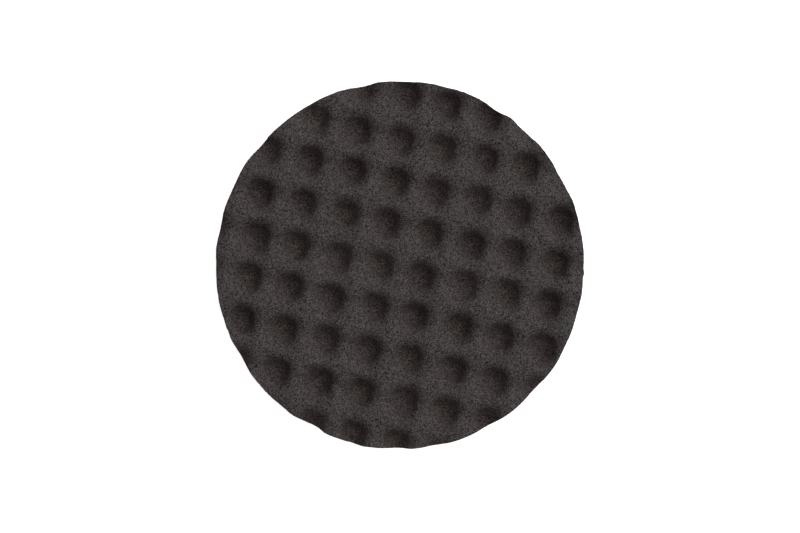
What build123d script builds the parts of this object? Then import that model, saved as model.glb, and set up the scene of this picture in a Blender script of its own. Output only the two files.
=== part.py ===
"""Waffle-faced foam polishing pad with a hook-and-loop backing, lying on its loop side.

The pad is a laminate of four pieces, from the machine side up: the raised loops that grip the
hooks of a backing plate, the knitted cloth that carries the loops, a film of hot-melt adhesive,
and a disc of soft open-cell foam whose working face is cut into rows of deep pockets.

Millimetres. The origin is the centre of the loop face, which the pad lies on, and +Z runs up
through the pad to its working face.
"""

from build123d import *
from math import ceil, cos, radians, sin, sqrt
import os

# Outside sizes, layer by layer
PAD_DIAMETER = 150.0
FOAM_THICKNESS = 22.5
FILM_THICKNESS = 0.2
CLOTH_THICKNESS = 0.5
LOOP_HEIGHT = 1.8

# How far the outermost loops stand in from the cut edge of their cloth
LOOP_EDGE_INSET = 0.5

# The pockets of the working face stand in rows on a lattice that is slightly out of square,
# because the soft foam is stretched while it is cut.
ROW_PITCH = 17.6
COLUMN_PITCH = 17.4
ROW_ANGLE = -13.4
COLUMN_ANGLE = 81.3
FIRST_POCKET_X = 8.5
FIRST_POCKET_Y = -4.7

# One pocket: a bowl with a steep wall, under a shallow flare. Neighbouring flares run into each
# other, so the ridges between the pockets dip and only the crests at their corners stay level.
POCKET_DEPTH = 7.5
POCKET_FLOOR_RADIUS = 2.4
POCKET_THROAT_RADIUS = 6.4
FLARE_DEPTH = 2.6
CREST_HALF_WIDTH = 0.9
FLOOR_FILLET = 3.0
THROAT_FILLET = 3.0
CUTTER_CLEARANCE = 2.0
SMALLEST_EDGE_CUT = 1.0

# The rim of the working face, eased by the press that cuts the disc out
RIM_CHAMFER = 0.5

pad_radius = PAD_DIAMETER / 2
cloth_bottom = LOOP_HEIGHT
film_bottom = cloth_bottom + CLOTH_THICKNESS
foam_bottom = film_bottom + FILM_THICKNESS
foam_top = foam_bottom + FOAM_THICKNESS

# A crest stands where three pockets are equally far away, which is the middle of the circle
# through their centres. The flares stop short of it, so that its top stays level.
lattice_angle = radians(COLUMN_ANGLE - ROW_ANGLE)
short_diagonal = sqrt(
    ROW_PITCH**2 + COLUMN_PITCH**2 - 2 * ROW_PITCH * COLUMN_PITCH * abs(cos(lattice_angle))
)
crest_distance = short_diagonal / (2 * sin(lattice_angle))
mouth_radius = crest_distance - CREST_HALF_WIDTH


def pocket_centres():
    """The lattice points whose pockets cut the working face by more than a sliver."""
    row = Vector(ROW_PITCH * cos(radians(ROW_ANGLE)), ROW_PITCH * sin(radians(ROW_ANGLE)))
    column = Vector(
        COLUMN_PITCH * cos(radians(COLUMN_ANGLE)), COLUMN_PITCH * sin(radians(COLUMN_ANGLE))
    )
    first = Vector(FIRST_POCKET_X, FIRST_POCKET_Y)
    reach = pad_radius + mouth_radius - SMALLEST_EDGE_CUT
    count = ceil(PAD_DIAMETER / min(ROW_PITCH, COLUMN_PITCH))
    steps = range(-count, count + 1)
    points = [first + row * i + column * j for i in steps for j in steps]
    return [point for point in points if point.length < reach]


# The loops: drawn as one closed disc of their outer shape
with BuildPart() as loop_pile:
    with BuildSketch():
        Circle(pad_radius - LOOP_EDGE_INSET)
    extrude(amount=LOOP_HEIGHT)

# The knitted cloth that the loops stand on
with BuildPart() as backing_cloth:
    with BuildSketch(Plane.XY.offset(cloth_bottom)):
        Circle(pad_radius)
    extrude(amount=CLOTH_THICKNESS)

# The adhesive that laminates the cloth to the foam
with BuildPart() as adhesive_film:
    with BuildSketch(Plane.XY.offset(film_bottom)):
        Circle(pad_radius)
    extrude(amount=FILM_THICKNESS)

# The shape that one pocket takes out of the foam
with BuildPart() as pocket:
    with BuildSketch(Plane.XZ) as half_section:
        with BuildLine():
            Polyline(
                (0, -POCKET_DEPTH),
                (POCKET_FLOOR_RADIUS, -POCKET_DEPTH),
                (POCKET_THROAT_RADIUS, -FLARE_DEPTH),
                (mouth_radius, 0),
                (mouth_radius, CUTTER_CLEARANCE),
                (0, CUTTER_CLEARANCE),
                close=True,
            )
        make_face()
        corners = half_section.vertices().sort_by(Axis.Y)
        throat_corner = corners[2]
        floor_corner = corners[:2].sort_by(Axis.X)[-1]
        fillet(throat_corner, THROAT_FILLET)
        fillet(floor_corner, FLOOR_FILLET)
    revolve(axis=Axis.Z)

# The foam disc with its waffle face
with BuildPart() as foam_disc:
    with BuildSketch(Plane.XY.offset(foam_bottom)):
        Circle(pad_radius)
    extrude(amount=FOAM_THICKNESS)
    chamfer(foam_disc.edges().group_by(Axis.Z)[-1], RIM_CHAMFER)
    with Locations(*[centre + Vector(0, 0, foam_top) for centre in pocket_centres()]):
        add(pocket.part, mode=Mode.SUBTRACT)

foam_disc.part.label = "foam_disc"
adhesive_film.part.label = "adhesive_film"
backing_cloth.part.label = "backing_cloth"
loop_pile.part.label = "loop_pile"

os.makedirs("parts", exist_ok=True)
export_step(foam_disc.part, "parts/foam_disc.step")
export_step(adhesive_film.part, "parts/adhesive_film.step")
export_step(backing_cloth.part, "parts/backing_cloth.step")
export_step(loop_pile.part, "parts/loop_pile.step")

print("pockets", len(pocket_centres()), "overall height", foam_top)
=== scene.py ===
# %% [markdown]
# # A waffle-faced polishing pad
# A polishing pad is a disc of soft foam that a machine spins against car paint. This one is a
# laminate of four layers: foam with a waffle of deep pockets, a film of adhesive, a knitted
# cloth, and thousands of tiny loops that grip the hooks of the machine's plate.
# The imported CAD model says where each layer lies. Every piece below is made to those boxes, so
# nothing has to be fitted by eye.

# %% Open the frame
import math
import random

import bmesh
import bpy
import numpy as np
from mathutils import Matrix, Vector


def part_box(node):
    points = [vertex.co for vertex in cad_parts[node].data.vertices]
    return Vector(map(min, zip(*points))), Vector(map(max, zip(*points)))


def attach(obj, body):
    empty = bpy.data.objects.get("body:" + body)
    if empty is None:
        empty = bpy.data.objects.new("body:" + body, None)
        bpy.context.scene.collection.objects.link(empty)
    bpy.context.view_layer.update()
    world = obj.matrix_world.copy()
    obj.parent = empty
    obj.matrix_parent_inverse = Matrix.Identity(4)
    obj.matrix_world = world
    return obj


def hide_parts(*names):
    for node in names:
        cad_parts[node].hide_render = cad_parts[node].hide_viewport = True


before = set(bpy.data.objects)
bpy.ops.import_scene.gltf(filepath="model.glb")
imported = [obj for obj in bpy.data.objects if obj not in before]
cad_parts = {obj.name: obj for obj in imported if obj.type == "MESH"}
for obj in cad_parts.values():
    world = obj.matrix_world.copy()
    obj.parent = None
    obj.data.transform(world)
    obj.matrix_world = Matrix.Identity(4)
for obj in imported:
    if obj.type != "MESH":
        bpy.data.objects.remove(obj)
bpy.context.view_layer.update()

MM = 0.001
foam_low, foam_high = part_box("foam_disc")
film_low, film_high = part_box("adhesive_film")
cloth_low, cloth_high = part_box("backing_cloth")
pile_low, pile_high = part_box("loop_pile")
pad_radius = (foam_high.x - foam_low.x) / 2

# %% [markdown]
# ## Working by hand, in code
# Blender's modelling tools act on whatever is selected, so each step here does what a person
# would: open a piece, pick vertices by where they are, and use a tool on them. A few small
# helpers do the opening and the picking.

# %% Helpers for opening a piece and picking its vertices
def leave_edit_mode():
    if bpy.context.mode != "OBJECT":
        bpy.ops.object.mode_set(mode="OBJECT")
    bpy.ops.object.select_all(action="DESELECT")


def take(piece):
    leave_edit_mode()
    piece.select_set(True)
    bpy.context.view_layer.objects.active = piece


def open_for_edit(piece):
    take(piece)
    bpy.ops.object.mode_set(mode="EDIT")
    bpy.ops.mesh.select_mode(type="VERT")


def pick(piece, wanted):
    """Selects the vertices that wanted(vertex) is true for, in edit mode."""
    bpy.ops.mesh.select_all(action="DESELECT")
    shape = bmesh.from_edit_mesh(piece.data)
    for vertex in shape.verts:
        if wanted(vertex):
            vertex.select_set(True)
    shape.select_flush(True)
    bmesh.update_edit_mesh(piece.data, loop_triangles=False, destructive=False)


def apply_modifiers(piece):
    take(piece)
    for modifier in list(piece.modifiers):
        bpy.ops.object.modifier_apply(modifier=modifier.name)


def from_axis(vertex):
    return math.hypot(vertex.co.x, vertex.co.y)


# %% Helper for a round sheet of even squares
def round_sheet(name, radius, height, squares_across):
    """A flat disc at that height, filled with a grid of nearly even squares."""
    leave_edit_mode()
    bpy.ops.mesh.primitive_circle_add(
        vertices=4 * squares_across, radius=radius, fill_type="NOTHING", location=(0, 0, height)
    )
    piece = bpy.context.object
    piece.name = name
    piece.data.name = name
    bpy.ops.object.transform_apply(location=True, rotation=True, scale=True)
    open_for_edit(piece)
    bpy.ops.mesh.select_all(action="SELECT")
    bpy.ops.mesh.fill_grid(span=squares_across)
    bpy.ops.mesh.select_all(action="SELECT")
    bpy.ops.mesh.normals_make_consistent(inside=False)
    return piece


# %% [markdown]
# ## The foam
# Convoluted foam starts as a flat slab that is squeezed between rollers set with pegs, so the
# pegs push pockets into its face. A slab can be modelled in the same way. A grid fill gives it
# even squares, and a loose vertex stands in for each peg: when a peg is moved down with
# proportional editing, the face around it follows with a smooth falloff, and where two pockets
# meet their pulls add up, so the ridge between them dips.
# Proportional editing measures from the nearest selected vertex, so several loose vertices that
# are pulled together make a shaped peg. Each pocket gets three pulls: a wide one for its bowl, a
# short steep one with an elbow-shaped tip for the pit in it, and a slight one on the ridge
# towards its neighbour in the row. Every peg is a little off its place and presses a little more
# or less than the others, as it does in soft foam.

# %% Lay a flat face
FACE_SQUARES = 144
foam = round_sheet("waffle_foam", pad_radius, foam_high.z, FACE_SQUARES)
print("flat face", len(bmesh.from_edit_mesh(foam.data).faces), "squares")

# %% Set out the pegs
ROW_PITCH = 17.6 * MM
COLUMN_PITCH = 17.4 * MM
ROW_ANGLE = math.radians(-13.4)
COLUMN_ANGLE = math.radians(81.3)
FIRST_POCKET = Vector((8.5 * MM, -4.7 * MM))
POCKET_DEPTH = 5.8 * MM
POCKET_REACH = 10.3 * MM
PEG_DEPTH = 2.3 * MM
PEG_RADIUS = 4.1 * MM
PEG_CORNER = Vector((2.3 * MM, 1.9 * MM))
PEG_LEFT_END = Vector((-0.9 * MM, 2.6 * MM))
PEG_LOWER_END = Vector((1.8 * MM, -1.5 * MM))
RIDGE_DIP = 0.8 * MM
RIDGE_REACH = 4.5 * MM
RIDGE_SHARE = 0.54
PEG_WANDER = 0.35 * MM
FIRMNESS_SPREAD = 0.08
WIDTH_SPREAD = 0.02
LATTICE_REACH = 8

hand = random.Random(7)
row = Vector((math.cos(ROW_ANGLE), math.sin(ROW_ANGLE))) * ROW_PITCH
column = Vector((math.cos(COLUMN_ANGLE), math.sin(COLUMN_ANGLE))) * COLUMN_PITCH
pegs = []
for i in range(-LATTICE_REACH, LATTICE_REACH + 1):
    for j in range(-LATTICE_REACH, LATTICE_REACH + 1):
        place = FIRST_POCKET + row * i + column * j
        wander = Vector((hand.gauss(0, PEG_WANDER), hand.gauss(0, PEG_WANDER)))
        firmness = 1 + hand.gauss(0, FIRMNESS_SPREAD)
        spread = 1 + hand.gauss(0, WIDTH_SPREAD)
        if place.length < pad_radius + POCKET_REACH:
            pegs.append((place + wander, firmness, spread))
print(len(pegs), "pegs")

# %% Push the pegs in
shape = bmesh.from_edit_mesh(foam.data)
face_count = len(shape.verts)
TIPS = (Vector((0, 0)), PEG_CORNER, PEG_LEFT_END, PEG_LOWER_END, row * RIDGE_SHARE)
for place, firmness, spread in pegs:
    for tip in TIPS:
        shape.verts.new((*(place + tip), foam_high.z))
bmesh.update_edit_mesh(foam.data)

for number, (place, firmness, spread) in enumerate(pegs):
    for tips, falloff, depth, reach in (
        ((0,), "SMOOTH", POCKET_DEPTH, POCKET_REACH),
        ((1, 2, 3), "SPHERE", PEG_DEPTH, PEG_RADIUS),
        ((4,), "SMOOTH", RIDGE_DIP, RIDGE_REACH),
    ):
        bpy.ops.mesh.select_all(action="DESELECT")
        shape = bmesh.from_edit_mesh(foam.data)
        shape.verts.ensure_lookup_table()
        for tip in tips:
            shape.verts[face_count + len(TIPS) * number + tip].select_set(True)
        bmesh.update_edit_mesh(foam.data, loop_triangles=False, destructive=False)
        bpy.ops.transform.translate(
            value=(0, 0, -depth * firmness),
            use_proportional_edit=True,
            proportional_edit_falloff=falloff,
            proportional_size=reach * spread,
        )
pick(foam, lambda vertex: not vertex.link_faces)
bpy.ops.mesh.delete(type="VERT")
heights = [vertex.co.z for vertex in bmesh.from_edit_mesh(foam.data).verts]
print("deepest pocket", round((foam_high.z - min(heights)) / MM, 2), "mm")

# %% [markdown]
# ## Cutting the disc out
# A ring-shaped knife stamps the disc out of the slab. The foam is squashed while it is cut and
# springs back afterwards, so the wall ends up drawn in a little below half its height, and its
# outline wanders. Here the rim is extruded straight down to the film, cut into rings, and drawn
# in by scaling the rings at the waist with proportional editing.

# %% Pull the wall down from the rim
bpy.ops.mesh.select_mode(type="EDGE")
bpy.ops.mesh.select_all(action="DESELECT")
bpy.ops.mesh.select_non_manifold(use_wire=False, use_multi_face=False, use_verts=False)
bpy.ops.mesh.extrude_edges_move()
bpy.ops.transform.resize(value=(1, 1, 0), center_override=(0, 0, foam_low.z))

# %% Cut the wall into rings
WALL_RINGS = 23
SHORTEST_WALL = 8 * MM
bpy.ops.mesh.select_all(action="DESELECT")
shape = bmesh.from_edit_mesh(foam.data)
for edge in shape.edges:
    top, bottom = sorted((edge.verts[0].co, edge.verts[1].co), key=lambda place: -place.z)
    if top.z - bottom.z > SHORTEST_WALL:
        edge.select_set(True)
bmesh.update_edit_mesh(foam.data, loop_triangles=False, destructive=False)
bpy.ops.mesh.subdivide(number_cuts=WALL_RINGS, smoothness=0)
bpy.ops.mesh.select_mode(type="VERT")
bpy.ops.mesh.select_all(action="SELECT")
bpy.ops.mesh.normals_make_consistent(inside=False)

# %% Draw the wall in at the waist
WAIST_DROP = 4 * MM
WAIST_SHARE = 0.993
WAIST_REACH = 8 * MM
ON_WALL = 0.99
waist = (foam_low.z + foam_high.z) / 2 - WAIST_DROP
ring_gap = (foam_high.z - foam_low.z) / WALL_RINGS


def at_waist(vertex):
    level = abs(vertex.co.z - waist) < ring_gap / 2
    return level and from_axis(vertex) > pad_radius * ON_WALL


pick(foam, at_waist)
bpy.ops.transform.resize(
    value=(WAIST_SHARE, WAIST_SHARE, 1),
    center_override=(0, 0, waist),
    use_proportional_edit=True,
    proportional_edit_falloff="SMOOTH",
    proportional_size=WAIST_REACH,
)
leave_edit_mode()
print("foam", len(foam.data.polygons), "faces before smoothing")

# %% [markdown]
# ## Springy, uneven foam
# Soft foam never comes off the rollers perfectly even. A Displace modifier with a cloud texture
# moves the whole face by a fraction of a millimetre, and a stronger one, held to the wall by a
# vertex group, makes the cut outline wander. A level of subdivision rounds the lip where the
# face meets the wall, and a last, fine displacement is the roughness of the open cells.

# %% Helper for a cloudy displacement
def roughen(piece, name, size, strength, direction="NORMAL", group=""):
    texture = bpy.data.textures.new(name, "CLOUDS")
    texture.noise_scale = size
    texture.noise_depth = 1
    modifier = piece.modifiers.new(name, "DISPLACE")
    modifier.texture = texture
    modifier.texture_coords = "LOCAL"
    modifier.direction = direction
    modifier.strength = strength
    modifier.mid_level = 0.5
    modifier.vertex_group = group


# %% Mark the wall, and let face and outline wander
WALL_START = 0.96
WALL_RAMP = 0.035
BOND_REACH = 2 * MM
BOND_SHARE = 0.25
wall = foam.vertex_groups.new(name="wall")
for vertex in foam.data.vertices:
    near_wall = min(1, max(0, (from_axis(vertex) / pad_radius - WALL_START) / WALL_RAMP))
    free_of_bond = min(1, max(BOND_SHARE, (vertex.co.z - foam_low.z) / BOND_REACH))
    weight = near_wall * free_of_bond
    if weight > 0:
        wall.add([vertex.index], weight, "REPLACE")

roughen(foam, "uneven_face", 22 * MM, 0.7 * MM, direction="Z")
for axis in "XY":
    roughen(foam, "wandering_cut_" + axis, 12 * MM, 0.5 * MM, direction=axis, group="wall")
    roughen(foam, "ragged_cut_" + axis, 1.8 * MM, 0.25 * MM, direction=axis, group="wall")

# %% Round the lip and roughen the cells
smooth = foam.modifiers.new("soft_lip", "SUBSURF")
smooth.levels = 1
smooth.render_levels = 1
roughen(foam, "cell_relief", 0.9 * MM, 0.22 * MM)
apply_modifiers(foam)

# %% [markdown]
# ## True the outline, then mark it
# The noise that makes the cut wander can also shift the disc and change its size a little.
# Reading the furthest point in each direction gives the outline, and its average and balance say
# how far to move and resize the foam, so that it has the size of the CAD model.
# The knife also leaves a few broad bulges and dents, because the foam slips under it. Each is
# made with a column of loose vertices, set beside the wall like a finger, that is moved out or in
# with proportional editing and then deleted.

# %% Bring the outline back to its size and centre
points = np.array([vertex.co[:] for vertex in foam.data.vertices])
bearing = np.arctan2(points[:, 1], points[:, 0])
OUTLINE_STEPS = 180
steps = ((bearing / (2 * math.pi) + 0.5) * OUTLINE_STEPS).astype(int) % OUTLINE_STEPS
outline = np.zeros(OUTLINE_STEPS)
np.maximum.at(outline, steps, np.hypot(points[:, 0], points[:, 1]))
facing = (np.arange(OUTLINE_STEPS) + 0.5) / OUTLINE_STEPS * 2 * math.pi - math.pi
off_x = 2 * np.mean(outline * np.cos(facing))
off_y = 2 * np.mean(outline * np.sin(facing))
growth = pad_radius / outline.mean()
open_for_edit(foam)
bpy.ops.mesh.select_all(action="SELECT")
bpy.ops.transform.translate(value=(-off_x, -off_y, 0))
bpy.ops.transform.resize(value=(growth, growth, 1), center_override=(0, 0, 0))
print("outline off centre by", round(off_x / MM, 3), round(off_y / MM, 3), "mm")
print("outline scaled by", round(growth, 4))

# %% Leave the marks of the cut
# Each mark: its bearing in degrees, how far it stands out or in, and how far it spreads.
CUT_MARKS = (
    (-104, 0.5 * MM, 9 * MM),
    (-117, -0.35 * MM, 5 * MM),
    (-32, 0.4 * MM, 9 * MM),
    (-2, 0.35 * MM, 3 * MM),
    (58, -0.45 * MM, 7 * MM),
    (146, 0.3 * MM, 8 * MM),
)
MARK_STEP = 2 * MM
for degrees, out, spread in CUT_MARKS:
    heading = Vector((math.cos(math.radians(degrees)), math.sin(math.radians(degrees)), 0))
    bpy.ops.mesh.select_all(action="DESELECT")
    shape = bmesh.from_edit_mesh(foam.data)
    for height in np.arange(foam_low.z, foam_high.z, MARK_STEP):
        fingertip = shape.verts.new(heading * pad_radius + Vector((0, 0, height)))
        fingertip.select_set(True)
    bmesh.update_edit_mesh(foam.data)
    bpy.ops.transform.translate(
        value=heading * out,
        use_proportional_edit=True,
        proportional_edit_falloff="SMOOTH",
        proportional_size=spread,
    )
    bpy.ops.mesh.delete(type="VERT")
print(len(CUT_MARKS), "marks of the cut")

# %% [markdown]
# ## Close the foam
# The bonded side is as flat as the film under it. Its rim is pressed to one height by scaling it
# to nothing along Z, and one flat face closes it. That comes after the subdivision, which would
# pull a face with so many corners out of shape.

# %% Close the side that is bonded, and keep it flat
open_for_edit(foam)
pick(foam, lambda vertex: vertex.co.z < foam_low.z + ring_gap / 4)
bpy.ops.transform.resize(value=(1, 1, 0), center_override=(0, 0, foam_low.z))
bpy.ops.mesh.select_mode(type="EDGE")
bpy.ops.mesh.select_all(action="DESELECT")
bpy.ops.mesh.select_non_manifold(use_wire=False, use_multi_face=False, use_verts=False)
bpy.ops.mesh.edge_face_add()
bpy.ops.mesh.select_all(action="SELECT")
bpy.ops.mesh.normals_make_consistent(inside=False)
leave_edit_mode()
take(foam)
bpy.ops.object.shade_smooth()
print("foam", len(foam.data.polygons), "faces")

# %% [markdown]
# ## The open cells
# Polyurethane foam is a froth whose bubble walls have burst: what is left is a net of fine
# struts round dark pores, a third of a millimetre across. A Voronoi texture is the same kind of
# froth: its cells are the bubbles, and the distance to the nearest cell edge tells strut from
# pore. No two bubbles catch the light alike, so a second Voronoi with the same cells makes each
# one a little lighter or darker. Kept in a node group, the froth gives a mask for colour and a
# height for the bump, and the group reads the piece's own space, so the pattern is as right on
# the wall as on the face.
# The crests are greyer than the pits, partly from dust on foam that has been handled and partly as a
# painted sheen. The pits get a darker, warmer painted shade, standing in for light bounced about
# inside them. That tint depends only on how high a point lies in the pad.

# %% Helpers for node groups
def new_group(name, inputs, outputs):
    group = bpy.data.node_groups.new(name, "ShaderNodeTree")
    for label, kind, value in inputs:
        socket = group.interface.new_socket(label, in_out="INPUT", socket_type=kind)
        socket.default_value = value
    for label, kind in outputs:
        group.interface.new_socket(label, in_out="OUTPUT", socket_type=kind)
    return group, group.nodes.new("NodeGroupInput"), group.nodes.new("NodeGroupOutput")


def maths(tree, operation, *values, clamp=False):
    node = tree.nodes.new("ShaderNodeMath")
    node.operation = operation
    node.use_clamp = clamp
    for socket, value in zip(node.inputs, values):
        if isinstance(value, bpy.types.NodeSocket):
            tree.links.new(value, socket)
        else:
            socket.default_value = value
    return node.outputs[0]


def place_of(tree):
    return tree.nodes.new("ShaderNodeTexCoord").outputs["Object"]


# %% The froth, as a node group
EDGE_SHARPNESS = 4.0
STRUT_SHADE = 0.8
froth, froth_in, froth_out = new_group(
    "open_cell_froth",
    [
        ("Cells per metre", "NodeSocketFloat", 1700.0),
        ("Pore openness", "NodeSocketFloat", 0.5),
        ("Unevenness", "NodeSocketFloat", 0.5),
    ],
    [("Strut", "NodeSocketFloat"), ("Height", "NodeSocketFloat")],
)
cells = froth.nodes.new("ShaderNodeTexVoronoi")
cells.feature = "DISTANCE_TO_EDGE"
cells.inputs["Randomness"].default_value = 1.0
froth.links.new(place_of(froth), cells.inputs["Vector"])
froth.links.new(froth_in.outputs["Cells per metre"], cells.inputs["Scale"])
opening = maths(froth, "MULTIPLY", cells.outputs["Distance"], EDGE_SHARPNESS, clamp=True)
opening = maths(froth, "MULTIPLY", opening, froth_in.outputs["Pore openness"])
bubbles = froth.nodes.new("ShaderNodeTexVoronoi")
bubbles.inputs["Randomness"].default_value = 1.0
froth.links.new(place_of(froth), bubbles.inputs["Vector"])
froth.links.new(froth_in.outputs["Cells per metre"], bubbles.inputs["Scale"])
each = froth.nodes.new("ShaderNodeSeparateColor")
froth.links.new(bubbles.outputs["Color"], each.inputs[0])
fleck = maths(froth, "ADD", each.outputs[0], each.outputs[1])
fleck = maths(froth, "MULTIPLY", fleck, 0.5)
fleck = maths(froth, "SUBTRACT", fleck, 0.5)
fleck = maths(froth, "MULTIPLY", fleck, froth_in.outputs["Unevenness"])
strut = maths(froth, "SUBTRACT", STRUT_SHADE, opening)
strut = maths(froth, "ADD", strut, fleck, clamp=True)
froth.links.new(strut, froth_out.inputs["Strut"])
froth.links.new(maths(froth, "SUBTRACT", 1.0, opening), froth_out.inputs["Height"])

# %% A slow drift of shade, shared by every material
drift, drift_in, drift_out = new_group(
    "slow_drift",
    [("Size", "NodeSocketFloat", 40.0), ("Amount", "NodeSocketFloat", 0.1)],
    [("Shade", "NodeSocketFloat")],
)
clouds = drift.nodes.new("ShaderNodeTexNoise")
clouds.inputs["Detail"].default_value = 3.0
drift.links.new(place_of(drift), clouds.inputs["Vector"])
drift.links.new(drift_in.outputs["Size"], clouds.inputs["Scale"])
swing = maths(drift, "SUBTRACT", clouds.outputs["Fac"], 0.5)
swing = maths(drift, "MULTIPLY", swing, drift_in.outputs["Amount"])
drift.links.new(maths(drift, "ADD", swing, 1.0), drift_out.inputs["Shade"])

# %% Helpers for a material
def new_material(name, roughness, specular):
    material = bpy.data.materials.new(name)
    material.use_nodes = True
    shader = material.node_tree.nodes["Principled BSDF"]
    shader.inputs["Roughness"].default_value = roughness
    shader.inputs["Specular IOR Level"].default_value = specular
    return material, material.node_tree, shader


def add_group(tree, group, **values):
    node = tree.nodes.new("ShaderNodeGroup")
    node.node_tree = group
    for label, value in values.items():
        node.inputs[label.replace("_", " ")].default_value = value
    return node


def between(tree, factor, dark, light):
    """A colour from dark to light as the factor goes from 0 to 1."""
    mix = tree.nodes.new("ShaderNodeMix")
    mix.data_type = "RGBA"
    tree.links.new(factor, mix.inputs["Factor"])
    mix.inputs["A"].default_value = (*dark, 1)
    mix.inputs["B"].default_value = (*light, 1)
    return mix.outputs["Result"]


def shaded(tree, colour, factor):
    """The colour, made lighter or darker by a factor near 1."""
    mix = tree.nodes.new("ShaderNodeMix")
    mix.data_type = "RGBA"
    mix.blend_type = "MULTIPLY"
    mix.inputs["Factor"].default_value = 1
    tree.links.new(colour, mix.inputs["A"])
    tree.links.new(factor, mix.inputs["B"])
    return mix.outputs["Result"]


def bumped(tree, shader, height, distance, strength):
    bump = tree.nodes.new("ShaderNodeBump")
    bump.inputs["Distance"].default_value = distance
    bump.inputs["Strength"].default_value = strength
    tree.links.new(height, bump.inputs["Height"])
    tree.links.new(bump.outputs["Normal"], shader.inputs["Normal"])


# %% The foam's finish
PORE = (0.008, 0.0072, 0.0071)
STRUT = (0.113, 0.1034, 0.1026)
# Painted shade and dust: the pits are tinted darker and warmer for shade and bounced light, and the
# crests greyer, partly dust and partly painted sheen.
PIT_PAINTED_SHADE_TINT = (0.93, 0.83, 0.815)
CREST_DUST_AND_SHEEN_TINT = (0.97, 0.99, 0.995)
PORE_RELIEF = 0.25 * MM
foam_finish, tree, shader = new_material("charcoal_open_cell_foam", 0.95, 0.15)
net = add_group(tree, froth, Cells_per_metre=3000.0, Pore_openness=0.6, Unevenness=2.1)
shade = add_group(tree, drift, Size=45.0, Amount=0.12)
colour = between(tree, net.outputs["Strut"], PORE, STRUT)
colour = shaded(tree, colour, shade.outputs["Shade"])
height_above = tree.nodes.new("ShaderNodeSeparateXYZ")
tree.links.new(place_of(tree), height_above.inputs[0])
height_shade_and_dust = tree.nodes.new("ShaderNodeMapRange")
height_shade_and_dust.interpolation_type = "SMOOTHSTEP"
height_shade_and_dust.inputs["From Min"].default_value = foam_high.z - POCKET_DEPTH
height_shade_and_dust.inputs["From Max"].default_value = foam_high.z
tree.links.new(height_above.outputs["Z"], height_shade_and_dust.inputs["Value"])
dust_and_painted_shade = between(tree, height_shade_and_dust.outputs["Result"], PIT_PAINTED_SHADE_TINT, CREST_DUST_AND_SHEEN_TINT)
tree.links.new(shaded(tree, colour, dust_and_painted_shade), shader.inputs["Base Color"])
bumped(tree, shader, net.outputs["Height"], PORE_RELIEF, 0.6)
foam.data.materials.append(foam_finish)
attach(foam, "root")
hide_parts("foam_disc")

# %% [markdown]
# ## The adhesive film
# A web of hot-melt glue bonds the cloth to the foam. It melts into both, so all that shows is a
# thin cloudy line round the edge, never quite even. It is a disc with a slightly wandering
# edge, given its thickness by Solidify.

# %% Lay the film
FILM_SQUARES = 48
FILM_INSET = 0.05 * MM
CREASE_ANGLE = math.radians(40)
film = round_sheet("bond_film", pad_radius - FILM_INSET, film_low.z, FILM_SQUARES)
leave_edit_mode()
for axis in "XY":
    roughen(film, "film_creep_" + axis, 6 * MM, 0.5 * MM, direction=axis)
thick = film.modifiers.new("film_thickness", "SOLIDIFY")
thick.thickness = film_high.z - film_low.z
thick.offset = 1
apply_modifiers(film)
bpy.ops.object.shade_smooth_by_angle(angle=CREASE_ANGLE)
CLEAR_GLUE = (0.1, 0.095, 0.088)
MILKY_GLUE = (0.2, 0.19, 0.175)
film_finish, tree, shader = new_material("cloudy_bond_film", 0.55, 0.4)
shade = add_group(tree, drift, Size=160.0, Amount=0.5)
milky = between(tree, shade.outputs["Shade"], CLEAR_GLUE, MILKY_GLUE)
tree.links.new(milky, shader.inputs["Base Color"])
film.data.materials.append(film_finish)
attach(film, "root")
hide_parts("adhesive_film")
print("film", len(film.data.polygons), "faces")

# %% [markdown]
# ## The backing cloth
# The loops stand on a thin knitted cloth, cut by the same knife as the foam. A knit is rows of
# interlocked stitches, so its pattern is two sets of waves at right angles. The cloth itself is
# a thin sheet that follows the foam, a little loose at its edge.

# %% Cut the cloth
CLOTH_SQUARES = 96
CLOTH_INSET = 0.1 * MM
CLOTH_SHARE = 0.96
cloth = round_sheet("backing_knit", pad_radius - CLOTH_INSET, cloth_low.z, CLOTH_SQUARES)
leave_edit_mode()
for axis in "XY":
    roughen(cloth, "cloth_cut_" + axis, 5 * MM, 0.55 * MM, direction=axis)
thick = cloth.modifiers.new("cloth_thickness", "SOLIDIFY")
thick.thickness = (cloth_high.z - cloth_low.z) * CLOTH_SHARE
thick.offset = 1
apply_modifiers(cloth)
bpy.ops.object.shade_smooth_by_angle(angle=CREASE_ANGLE)
print("cloth", len(cloth.data.polygons), "faces")

# %% Knit rows, as a node group
knit, knit_in, knit_out = new_group(
    "knit_rows",
    [
        ("Stitches per metre", "NodeSocketFloat", 1000.0),
        ("Rows per metre", "NodeSocketFloat", 1300.0),
    ],
    [("Yarn", "NodeSocketFloat"), ("Height", "NodeSocketFloat")],
)
split = knit.nodes.new("ShaderNodeSeparateXYZ")
knit.links.new(place_of(knit), split.inputs[0])
TURN = 2 * math.pi
YARN_SWAY = 0.9
wale = maths(knit, "MULTIPLY", split.outputs["X"], knit_in.outputs["Stitches per metre"])
wale = maths(knit, "MULTIPLY", wale, TURN)
sway = maths(knit, "MULTIPLY", maths(knit, "SINE", wale), YARN_SWAY)
course = maths(knit, "MULTIPLY", split.outputs["Y"], knit_in.outputs["Rows per metre"])
course = maths(knit, "MULTIPLY", course, TURN)
yarn = maths(knit, "SINE", maths(knit, "ADD", course, sway))
yarn = maths(knit, "MULTIPLY", yarn, 0.3)
ridge = maths(knit, "MULTIPLY", maths(knit, "COSINE", wale), 0.2)
height = maths(knit, "ADD", yarn, ridge)
height = maths(knit, "ADD", height, 0.5, clamp=True)
knit.links.new(height, knit_out.inputs["Yarn"])
knit.links.new(height, knit_out.inputs["Height"])

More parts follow.
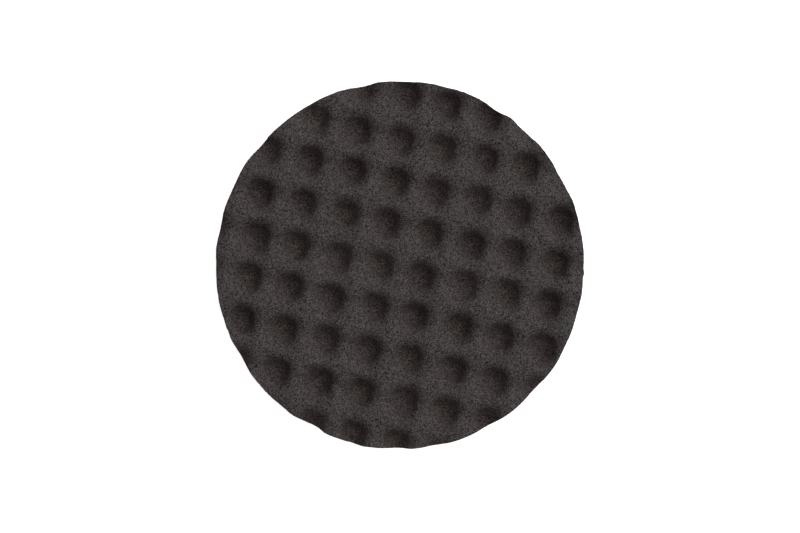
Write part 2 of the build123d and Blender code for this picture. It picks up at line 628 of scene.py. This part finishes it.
# %% The cloth's finish
STITCH_GAP_PAINTED_SHADE = (0.013, 0.013, 0.014)
STITCH_YARN = (0.045, 0.045, 0.048)
STITCH_RELIEF = 0.15 * MM
cloth_finish, tree, shader = new_material("dark_backing_knit", 0.9, 0.2)
stitches = add_group(tree, knit, Stitches_per_metre=900.0, Rows_per_metre=1200.0)
shade = add_group(tree, drift, Size=60.0, Amount=0.25)
# Painted shade: the colour darkens where the knit lies low, standing in for shade in the gaps
# between stitches.
colour = between(tree, stitches.outputs["Yarn"], STITCH_GAP_PAINTED_SHADE, STITCH_YARN)
tree.links.new(shaded(tree, colour, shade.outputs["Shade"]), shader.inputs["Base Color"])
bumped(tree, shader, stitches.outputs["Height"], STITCH_RELIEF, 0.7)
shader.inputs["Sheen Weight"].default_value = 0.15
cloth.data.materials.append(cloth_finish)
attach(cloth, "root")
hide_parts("backing_cloth")

# %% [markdown]
# ## The loops
# The side that grips is a short pile of loops, pulled up from the knit and brushed so that they
# lean every way. One loop is a thin tube swept round half a circle, which is what Spin does. It is
# spun downwards, so that it hangs below the cloth and needs no turning over later.
# Thousands are needed, so it has only eighteen faces, and each copy is turned, leaned and
# stretched by its own small amounts. Three bands of about the same area keep each piece light.

# %% Spin one loop
YARN_RADIUS = 0.085 * MM
LOOP_SPAN = 0.9 * MM
YARN_SIDES = 3
LOOP_STEPS = 6
leave_edit_mode()
bpy.ops.mesh.primitive_circle_add(
    vertices=YARN_SIDES, radius=YARN_RADIUS, fill_type="NOTHING", location=(LOOP_SPAN / 2, 0, 0)
)
one_loop = bpy.context.object
bpy.ops.object.transform_apply(location=True, rotation=True, scale=True)
open_for_edit(one_loop)
bpy.ops.mesh.select_all(action="SELECT")
bpy.ops.mesh.spin(steps=LOOP_STEPS, angle=-math.pi, center=(0, 0, 0), axis=(0, 1, 0))
bpy.ops.mesh.select_all(action="SELECT")
bpy.ops.mesh.normals_make_consistent(inside=False)
leave_edit_mode()
loop_points = np.array([vertex.co[:] for vertex in one_loop.data.vertices])
loop_faces = [tuple(face.vertices) for face in one_loop.data.polygons]
bpy.data.objects.remove(one_loop)
print("one loop", len(loop_faces), "faces,", round(-loop_points[:, 2].min() / MM, 2), "mm tall")

# %% Scatter the loops
LOOP_GAP = 1.04 * MM
LOOP_WANDER = 0.22 * MM
FOOT_DEPTH = 0.1 * MM
pile_radius = (pile_high.x - pile_low.x) / 2
foot_height = cloth_low.z + FOOT_DEPTH
loop_height = foot_height - pile_low.z
scatter = np.random.default_rng(11)
lines = np.arange(-pile_radius, pile_radius, LOOP_GAP)
feet = np.array([(x, y) for x in lines for y in lines])
feet = feet + scatter.normal(0, LOOP_WANDER, feet.shape)
distance = np.hypot(feet[:, 0], feet[:, 1])
feet = feet[distance < pile_radius - LOOP_SPAN / 2]
distance = np.hypot(feet[:, 0], feet[:, 1])
print(len(feet), "loops")

# %% Helper that makes a band of loops
TURN_MEAN = 0.3
TURN_SPREAD = 0.7
SHORTEST_LOOP = 0.72
NARROWEST_LOOP = 0.7
WIDEST_LOOP = 1.15
LEAN_SPREAD = 0.35


def loops_at(name, places):
    """One piece holding a loop at each place, every one leaned and stretched by its own amounts."""
    count = len(places)
    turn_by = scatter.normal(TURN_MEAN, TURN_SPREAD, count)
    taller = scatter.uniform(SHORTEST_LOOP, 1.0, count) * loop_height / (LOOP_SPAN / 2 + YARN_RADIUS)
    wider = scatter.uniform(NARROWEST_LOOP, WIDEST_LOOP, count)
    lean = scatter.normal(0, LEAN_SPREAD, (count, 2))
    points = np.repeat(loop_points[None], count, axis=0)
    points[:, :, 0] *= wider[:, None]
    points[:, :, 2] *= taller[:, None]
    x = points[:, :, 0]
    y = points[:, :, 1]
    z = points[:, :, 2]
    cosine = np.cos(turn_by)[:, None]
    sine = np.sin(turn_by)[:, None]
    placed = np.stack(
        [
            x * cosine - y * sine + lean[:, :1] * z + places[:, :1],
            x * sine + y * cosine + lean[:, 1:] * z + places[:, 1:],
            foot_height + z,
        ],
        axis=2,
    )
    mesh = bpy.data.meshes.new(name)
    each = len(loop_points)
    faces = [tuple(k * each + v for v in face) for k in range(count) for face in loop_faces]
    mesh.from_pydata(placed.reshape(-1, 3).tolist(), [], faces)
    piece = bpy.data.objects.new(name, mesh)
    bpy.context.scene.collection.objects.link(piece)
    take(piece)
    bpy.ops.object.shade_smooth()
    return piece


# %% Make the pile
LOOP_SHADE = (0.016, 0.016, 0.0175)
LOOP_LIGHT = (0.05, 0.05, 0.054)
BAND_NAMES = ("inner_loops", "middle_loops", "outer_loops")
loop_finish, tree, shader = new_material("brushed_loop_yarn", 0.8, 0.25)
shade = add_group(tree, drift, Size=900.0, Amount=0.9)
tone = between(tree, shade.outputs["Shade"], LOOP_SHADE, LOOP_LIGHT)
tree.links.new(tone, shader.inputs["Base Color"])
shader.inputs["Sheen Weight"].default_value = 0.25
for number, name in enumerate(BAND_NAMES):
    inner = pile_radius * math.sqrt(number / len(BAND_NAMES))
    outer = pile_radius * math.sqrt((number + 1) / len(BAND_NAMES))
    band = loops_at(name, feet[(distance >= inner) & (distance < outer)])
    band.data.materials.append(loop_finish)
    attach(band, "root")
    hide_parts("loop_pile")
    print(name, len(band.data.polygons), "faces")

# %% [markdown]
# ## The studio
# Dark foam shows its shape by light and shade alone, so the light matters more than any colour.
# One large soft box stands high to the right. It leaves the side of each pocket that is nearest
# to it in shade, and an even, weaker light from all round fills the pockets.

# %% The soft box
def aim(piece, target):
    piece.rotation_euler = (Vector(target) - piece.location).to_track_quat("-Z", "Y").to_euler()


KEY_AZIMUTH = math.radians(29.0)
KEY_HEIGHT = math.radians(56.0)
KEY_DISTANCE = 3.0
KEY_SPREAD = math.radians(42)
KEY_POWER = 143.0
KEY_COLOUR = (1.0, 1.0, 0.995)
key_light = bpy.data.lights.new("soft_box", "AREA")
key_light.shape = "DISK"
key_light.size = 2 * KEY_DISTANCE * math.tan(KEY_SPREAD)
key_light.energy = KEY_POWER
key_light.color = KEY_COLOUR
soft_box = bpy.data.objects.new("soft_box", key_light)
bpy.context.scene.collection.objects.link(soft_box)
flat_distance = KEY_DISTANCE * math.cos(KEY_HEIGHT)
soft_box.location = (
    flat_distance * math.cos(KEY_AZIMUTH),
    flat_distance * math.sin(KEY_AZIMUTH),
    KEY_DISTANCE * math.sin(KEY_HEIGHT),
)
aim(soft_box, (0, 0, 0))
soft_box.visible_camera = False

# %% The light from all round
FILL = 0.132
FILL_COLOUR = (1, 0.66, 0.63, 1)
BACKDROP = 1.2
world = bpy.data.worlds.new("white_room")
bpy.context.scene.world = world
world.use_nodes = True
air = world.node_tree
air.nodes.clear()
seen = air.nodes.new("ShaderNodeLightPath")
fill = air.nodes.new("ShaderNodeBackground")
fill.inputs["Color"].default_value = FILL_COLOUR
fill.inputs["Strength"].default_value = FILL
backdrop = air.nodes.new("ShaderNodeBackground")
backdrop.inputs["Color"].default_value = (1, 1, 1, 1)
backdrop.inputs["Strength"].default_value = BACKDROP
choose = air.nodes.new("ShaderNodeMixShader")
sky = air.nodes.new("ShaderNodeOutputWorld")
air.links.new(seen.outputs["Is Camera Ray"], choose.inputs[0])
air.links.new(fill.outputs[0], choose.inputs[1])
air.links.new(backdrop.outputs[0], choose.inputs[2])
air.links.new(choose.outputs[0], sky.inputs["Surface"])

# %% [markdown]
# ## The table
# The pad lies on a white table that is lit until it is plain white. The glow is only for the camera,
# so it doesn't light the pad, and it stops short of the loops, so none of it shows between them;
# under the pad the table is left without glow, a painted shadow. Seen from below, the table is
# clear, and a low lamp lights the loop side through it.

# %% The white table
TABLE_WIDTH = 8.0
TABLE_GAP = 0.02 * MM
TABLE_WHITE = (0.8, 0.8, 0.8, 1)
GLOW = 0.85
GLOW_INSET = 1.5 * MM
leave_edit_mode()
bpy.ops.mesh.primitive_plane_add(size=TABLE_WIDTH, location=(0, 0, pile_low.z - TABLE_GAP))
bpy.ops.object.transform_apply(location=True, rotation=True, scale=True)
table = bpy.context.object
table.name = "white_table"
table_finish = bpy.data.materials.new("white_table_top")
table_finish.use_nodes = True
tree = table_finish.node_tree
tree.nodes.clear()
matte = tree.nodes.new("ShaderNodeBsdfDiffuse")
matte.inputs["Color"].default_value = TABLE_WHITE
glow = tree.nodes.new("ShaderNodeEmission")
path = tree.nodes.new("ShaderNodeLightPath")
nothing = tree.nodes.new("ShaderNodeEmission")
nothing.inputs["Strength"].default_value = 0.0
pick_glow = tree.nodes.new("ShaderNodeMixShader")
both = tree.nodes.new("ShaderNodeAddShader")
surface = tree.nodes.new("ShaderNodeOutputMaterial")
tree.links.new(path.outputs["Is Camera Ray"], pick_glow.inputs[0])
away = tree.nodes.new("ShaderNodeVectorMath")
away.operation = "LENGTH"
tree.links.new(place_of(tree), away.inputs[0])
# Painted shadow: no glow under the pad, so the table there stays dark.
glow_outside_painted_shadow = maths(tree, "GREATER_THAN", away.outputs["Value"], pad_radius - GLOW_INSET)
tree.links.new(maths(tree, "MULTIPLY", glow_outside_painted_shadow, GLOW), glow.inputs["Strength"])
tree.links.new(nothing.outputs[0], pick_glow.inputs[1])
tree.links.new(glow.outputs[0], pick_glow.inputs[2])
tree.links.new(matte.outputs[0], both.inputs[0])
tree.links.new(pick_glow.outputs[0], both.inputs[1])
clear = tree.nodes.new("ShaderNodeBsdfTransparent")
table_side = tree.nodes.new("ShaderNodeNewGeometry")
one_way = tree.nodes.new("ShaderNodeMixShader")
covered = maths(tree, "SUBTRACT", 1.0, glow_outside_painted_shadow)
unseen = maths(tree, "SUBTRACT", 1.0, path.outputs["Is Camera Ray"])
lets_light_in = maths(tree, "MULTIPLY", covered, unseen)
see_through = maths(tree, "MAXIMUM", table_side.outputs["Backfacing"], lets_light_in)
tree.links.new(see_through, one_way.inputs[0])
tree.links.new(both.outputs[0], one_way.inputs[1])
tree.links.new(clear.outputs[0], one_way.inputs[2])
tree.links.new(one_way.outputs[0], surface.inputs["Surface"])
table.data.materials.append(table_finish)

# %% A light for the loop side
LOW_SIZE = 1.2
LOW_POWER = 25.0
LOW_PLACE = (0.5, -0.7, -1.1)
under_light = bpy.data.lights.new("under_light", "AREA")
under_light.shape = "DISK"
under_light.size = LOW_SIZE
under_light.energy = LOW_POWER
low_box = bpy.data.objects.new("under_light", under_light)
bpy.context.scene.collection.objects.link(low_box)
low_box.location = LOW_PLACE
aim(low_box, (0, 0, 0))
low_box.visible_camera = False

# %% [markdown]
# ## The camera
# The camera looks straight down from high above with a long lens, so the disc stays round and
# nothing of its wall shows.

# %% Hang the camera over the pad
LENS = 100.0
SENSOR = 36.0
VIEW_WIDTH = 0.3253
AIM_POINT = Vector((0.06 * MM, -0.52 * MM, foam_high.z - 1 * MM))
camera_data = bpy.data.cameras.new("overhead_camera")
camera_data.lens = LENS
camera_data.sensor_width = SENSOR
camera = bpy.data.objects.new("overhead_camera", camera_data)
bpy.context.scene.collection.objects.link(camera)
camera.location = AIM_POINT + Vector((0, 0, VIEW_WIDTH * LENS / SENSOR))
camera.rotation_euler = (0, 0, 0)
bpy.context.scene.camera = camera
bpy.context.scene.view_settings.view_transform = "Standard"
bpy.context.scene.view_settings.look = "None"
print("camera", round(camera.location.z, 3), "m above the table")
